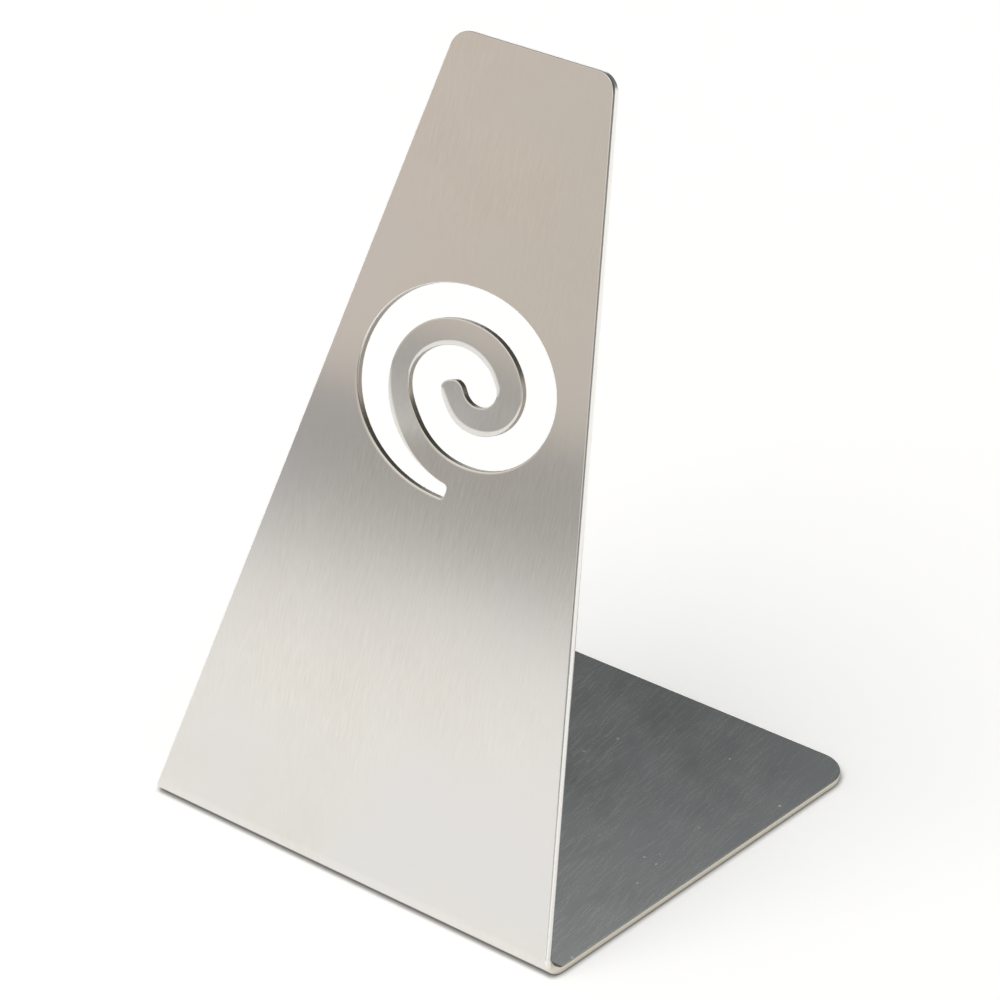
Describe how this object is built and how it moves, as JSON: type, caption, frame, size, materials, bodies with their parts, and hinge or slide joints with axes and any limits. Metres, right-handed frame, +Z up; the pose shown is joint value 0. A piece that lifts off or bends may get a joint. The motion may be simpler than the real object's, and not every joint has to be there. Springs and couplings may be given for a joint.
{
  "type": "place card holder",
  "caption": "Folded brushed-steel place card holder: a tapered panel leans back over a flat base, and a spiral slot frees a springy tongue that clips the card.",
  "frame": {"origin": "on the table surface, under the middle of the holder's footprint, half way from the nose of the fold to the back edge of the base", "axes": "+X to the holder's right as its front is faced, -Y out of the front, where the card is read, and +Z up"},
  "size_m": [0.0656, 0.045, 0.0794],
  "materials": {
    "brushed_sheet": "cold-rolled stainless sheet, brushed along the panel, edges tumbled smooth"
  },
  "bodies": {
    "sheet": {"front_panel": "brushed_sheet", "fold_bend": "brushed_sheet", "base_plate": "brushed_sheet"},
    "tongue": {"card_tongue": "brushed_sheet"}
  },
  "joints": [
    {"name": "tongue_flex", "type": "hinge", "parent": "sheet", "child": "tongue", "pos_m": [0.00061, -0.00538, 0.0411], "axis": [1, 0, 0], "range_deg": [-5, 5], "stiffness_Nm_per_rad": 1.4}
  ]
}
